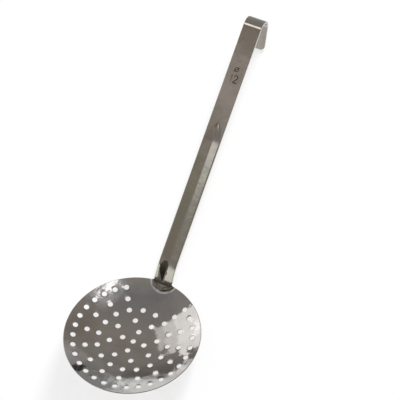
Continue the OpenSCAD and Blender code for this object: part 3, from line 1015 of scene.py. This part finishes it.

# %% [markdown]
# ## Floor
# The skimmer lies on a plain pale floor. Most of its brightness is its own, so that it stays white to the camera and,
# except beyond the hook, to the mirroring steel. The smaller part is lit, and that part keeps the skimmer's shadow.
# Beyond the hook the floor is painted darker for mirrored rays only: a painted dark reflection in the hook and grip.

# %% Floor
def plain_material(name):
    material = bpy.data.materials.new(name)
    material.use_nodes = True
    material.node_tree.nodes.clear()
    return material, material.node_tree


bpy.ops.mesh.primitive_plane_add(size=8, location=(0, 0, -0.0002))
floor = bpy.context.object
floor.name = "floor"
floor_paint, tree = plain_material("pale floor")
light_path = tree.nodes.new("ShaderNodeLightPath")
spot = tree.nodes.new("ShaderNodeTexCoord").outputs["Object"]
# Painted dark reflection: beyond the hook the floor is painted darker for mirrored rays only, so the hook and the grip
# mirror a dark patch there.
beyond_hook = scaled(tree, node(tree, "ShaderNodeSeparateXYZ", {0: spot}).outputs["X"], 0.12, 0.24)
beside_line = scaled(tree, vector_math(tree, "DOT_PRODUCT", spot, (-0.375, 0.927, 0)), 0.044, 0.134, 1.0, 0.0)
mirrored_dark_patch = math(tree, "MULTIPLY", math(tree, "MULTIPLY", beyond_hook, beside_line), light_path.outputs["Is Glossy Ray"])
matte = node(tree, "ShaderNodeBsdfDiffuse",
             {"Color": mixed_colour(tree, mirrored_dark_patch, (0.26, 0.26, 0.26, 1), (0.1, 0.1, 0.1, 1))})
to_camera = math(tree, "MULTIPLY", light_path.outputs["Is Camera Ray"], 0.7)
to_mirror = math(tree, "MULTIPLY", light_path.outputs["Is Glossy Ray"], 0.58)
own_light = math(tree, "SUBTRACT", math(tree, "ADD", to_camera, to_mirror), math(tree, "MULTIPLY", mirrored_dark_patch, 0.4))
glow = node(tree, "ShaderNodeEmission", {"Color": (1, 1, 1, 1), "Strength": own_light})
both_shaders = node(tree, "ShaderNodeAddShader", {0: matte.outputs[0], 1: glow.outputs[0]})
tree.links.new(both_shaders.outputs[0], tree.nodes.new("ShaderNodeOutputMaterial").inputs[0])
floor.data.materials.append(floor_paint)

# %% [markdown]
# ## The room around it
# Polished metal shows the room more than it shows the lamps. The world is therefore painted by
# direction, but only for mirrored rays: white along the horizon, then a dim warm wall, a cooler
# ceiling, and a few soft boxes. Every other ray sees one plain grey-white level, so that the skimmer is
# lit evenly from all sides.

# %% A soft box in the world
def soft_box_group():
    group = bpy.data.node_groups.new("soft box", "ShaderNodeTree")
    for name in ("Direction", "Aim", "Across", "Up"):
        socket(group, name, "NodeSocketVector")
    for name in ("Half width", "Half height", "Softness", "Strength"):
        socket(group, name, "NodeSocketFloat", 0.1)
    socket(group, "Light", "NodeSocketFloat", out=True)
    given = group.nodes.new("NodeGroupInput").outputs
    ahead = vector_math(group, "DOT_PRODUCT", given["Direction"], given["Aim"])
    safe = math(group, "MAXIMUM", ahead, 0.05)
    light = math(group, "MULTIPLY", given["Strength"], math(group, "GREATER_THAN", ahead, 0.05))
    for axis, half in (("Across", "Half width"), ("Up", "Half height")):
        offset = math(group, "DIVIDE", vector_math(group, "DOT_PRODUCT", given["Direction"], given[axis]), safe)
        past = math(group, "SUBTRACT", math(group, "ABSOLUTE", offset), given[half])
        share = math(group, "DIVIDE", past, given["Softness"])
        light = math(group, "MULTIPLY", light, scaled(group, share, -1.0, 1.0, 1.0, 0.0))
    group.links.new(light, group.nodes.new("NodeGroupOutput").inputs[0])
    return group


soft_box = soft_box_group()


def add_box(tree, direction, aim, toward, half_width, half_height, softness, strength):
    """A box of light around an aim. Its width runs towards a second direction."""
    aim = Vector(aim).normalized()
    across_axis = (Vector(toward) - aim * aim.dot(Vector(toward))).normalized()
    box = tree.nodes.new("ShaderNodeGroup")
    box.node_tree = soft_box
    tree.links.new(direction, box.inputs["Direction"])
    for name, value in (("Aim", aim), ("Across", across_axis), ("Up", aim.cross(across_axis))):
        box.inputs[name].default_value = value
    for name, value in (("Half width", half_width), ("Half height", half_height), ("Softness", softness),
                        ("Strength", strength)):
        box.inputs[name].default_value = value
    return box.outputs[0]


# %% The world
ROOM = [(-0.2, (0.8, 0.8, 0.8)), (0.01, (0.8, 0.8, 0.8)), (0.08, (0.15, 0.137, 0.128)),
        (0.28, (0.28, 0.255, 0.235)), (0.55, (0.30, 0.27, 0.245)), (0.75, (0.26, 0.24, 0.23)),
        (0.87, (0.225, 0.225, 0.225)), (0.95, (0.34, 0.31, 0.28)), (1.0, (0.25, 0.225, 0.20))]
BOXES = [
    # aim, toward, half width, half height, softness, strength
    # A window, in four panes: the bright patch of the dish
    ((0.692, 0.536, 0.52), (-0.766, 0.643, 0), 0.036, 0.14, 0.012, 0.42),
    ((0.634, 0.60, 0.5), (-0.766, 0.643, 0), 0.05, 0.19, 0.012, 0.62),
    ((0.413, 0.803, 0.476), (-0.766, 0.643, 0), 0.25, 0.25, 0.012, 0.85),
    ((0.466, 0.746, 0.47), (-0.766, 0.643, 0), 0.03, 0.06, 0.03, 0.5),
    # The lamp's glint on the dish and its glow
    ((0.535, -0.163, 0.829), (0.64, -0.21, 0.74), 0.1, 0.03, 0.045, 1.8),
    ((0.535, -0.163, 0.829), (0.64, -0.21, 0.74), 0.18, 0.11, 0.1, 0.28),
    # Along the horizon: dark towards the hook, bright again to its left
    ((0.996, -0.087, -0.055), (0, 1, 0), 0.45, 0.1, 0.035, -0.53),
    ((0.917, 0.399, -0.055), (0, 1, 0), 0.06, 0.1, 0.035, -0.25),
    ((0.641, 0.764, 0.08), (-0.766, 0.643, 0), 0.08, 0.05, 0.03, 0.7),
    ((0.99, -0.035, 0.13), (0, 1, 0), 0.11, 0.09, 0.06, 0.22),
    ((0.99, 0.122, 0.035), (0, 1, 0), 0.035, 0.035, 0.015, -0.5),
    ((0.96, 0.25, 0.13), (0, 1, 0), 0.17, 0.08, 0.05, 0.09),
    # Broad shades in the dish
    ((0.877, -0.155, 0.454), (0, 1, 0), 0.1, 0.15, 0.1, -0.05),
    ((0.343, 0.528, 0.777), (0, 1, 0), 0.12, 0.12, 0.08, 0.05),
    # The grip: its right flank, and a lighter and a darker stretch of its face
    ((-0.064, 0.667, 0.741), (1, 0, 0), 0.038, 0.2, 0.02, 0.64),
    ((-0.077, 0.32, 0.94), (1, 0, 0), 0.012, 0.1, 0.012, 0.14),
    ((-0.03, 0.32, 0.945), (1, 0, 0), 0.03, 0.1, 0.015, -0.1),
    ((-0.105, -0.07, 0.992), (1, 0, 0), 0.016, 0.12, 0.02, 0.09),
    ((-0.155, -0.07, 0.985), (1, 0, 0), 0.02, 0.12, 0.02, -0.04),
    ((0, -0.9, 0.4), (1, 0, 0), 0.8, 0.5, 0.2, -0.15),
    # The hook's bend and leg
    ((0.2, 0.32, 0.926), (1, 0, -0.21), 0.155, 0.04, 0.02, 1.3),
    ((-0.91, 0.32, 0.27), (0, 1, 0), 0.35, 0.3, 0.15, 0.3),
    # The neck: white on its face and right flank, dark on its left flank and towards the fold
    ((-0.533, 0.328, 0.792), (-0.82, 0, -0.57), 0.172, 0.12, 0.03, 0.66),
    ((-0.424, 0.664, 0.662), (-0.82, 0, -0.57), 0.16, 0.26, 0.03, 0.66),
    ((-0.5, 0.02, 0.866), (-0.89, 0, -0.45), 0.2, 0.2, 0.05, -0.24),
    ((-0.75, 0.4, 0.53), (-0.57, 0, -0.82), 0.13, 0.3, 0.04, -0.2),
]
world = bpy.data.worlds.new("studio")
bpy.context.scene.world = world
world.use_nodes = True
tree = world.node_tree
tree.nodes.clear()
direction = tree.nodes.new("ShaderNodeTexCoord").outputs["Generated"]
height = node(tree, "ShaderNodeSeparateXYZ", {0: direction}).outputs["Z"]
ramp = node(tree, "ShaderNodeValToRGB", {0: math(tree, "DIVIDE", math(tree, "ADD", height, 0.2), 1.2)})
while len(ramp.color_ramp.elements) < len(ROOM):
    ramp.color_ramp.elements.new(0.5)
for element, (z, colour) in zip(ramp.color_ramp.elements, ROOM):
    element.position, element.color = (z + 0.2) / 1.2, (*colour, 1)
light = 0.0
for box in BOXES:
    light = math(tree, "ADD", add_box(tree, direction, *box), light)
lit = vector_math(tree, "ADD", ramp.outputs[0], node(tree, "ShaderNodeCombineXYZ", {"X": light, "Y": light,
                                                                                    "Z": light}).outputs[0])
room = vector_math(tree, "MAXIMUM", lit, (0.03, 0.03, 0.03))
light_path = tree.nodes.new("ShaderNodeLightPath")
plain = node(tree, "ShaderNodeBackground", {"Color": (1, 1, 1, 1), "Strength": 0.6})
mirrored = node(tree, "ShaderNodeBackground", {"Color": room, "Strength": 1.0})
white = node(tree, "ShaderNodeBackground", {"Color": (1, 1, 1, 1), "Strength": 1.0})
mixed = node(tree, "ShaderNodeMixShader", {0: light_path.outputs["Is Glossy Ray"], 1: plain.outputs[0],
                                           2: mirrored.outputs[0]})
mixed = node(tree, "ShaderNodeMixShader", {0: light_path.outputs["Is Camera Ray"], 1: mixed.outputs[0],
                                           2: white.outputs[0]})
tree.links.new(mixed.outputs[0], tree.nodes.new("ShaderNodeOutputWorld").inputs[0])

# %% [markdown]
# One large lamp above the right of the picture gives the floor its soft shadow. The steel doesn't mirror
# it, because the soft boxes already stand for it there.

# %% Lamp
lamp_data = bpy.data.lights.new("large soft lamp", "AREA")
lamp_data.shape, lamp_data.size, lamp_data.energy = "DISK", 1.7, 384.0
lamp = bpy.data.objects.new("large soft lamp", lamp_data)
bpy.context.scene.collection.objects.link(lamp)
lamp.location = Vector((1.31, -0.28, 1.0)).normalized() * 6.0
lamp.rotation_euler = lamp.location.to_track_quat("Z", "Y").to_euler()
lamp.visible_glossy = False

# %% Camera, at the photograph's angle
LENS, SENSOR = 208.4, 36.0
camera_data = bpy.data.cameras.new("camera")
camera_data.lens, camera_data.sensor_width = LENS, SENSOR
camera_data.clip_start, camera_data.clip_end = 0.05, 50
camera = bpy.data.objects.new("camera", camera_data)
bpy.context.scene.collection.objects.link(camera)
right, up = Vector((0.3637, -0.8888, -0.2787)).normalized(), Vector((0.9301, 0.3302, 0.1607))
back = right.cross(up).normalized()
up = back.cross(right)
turn = camera.matrix_world.to_3x3()
for i in range(3):
    turn[i] = (right[i], up[i], back[i])
camera.matrix_world = turn.to_4x4()
camera.location = (-0.0942, -0.6492, 1.9259)
bpy.context.scene.camera = camera
bpy.context.scene.view_settings.view_transform = "Standard"
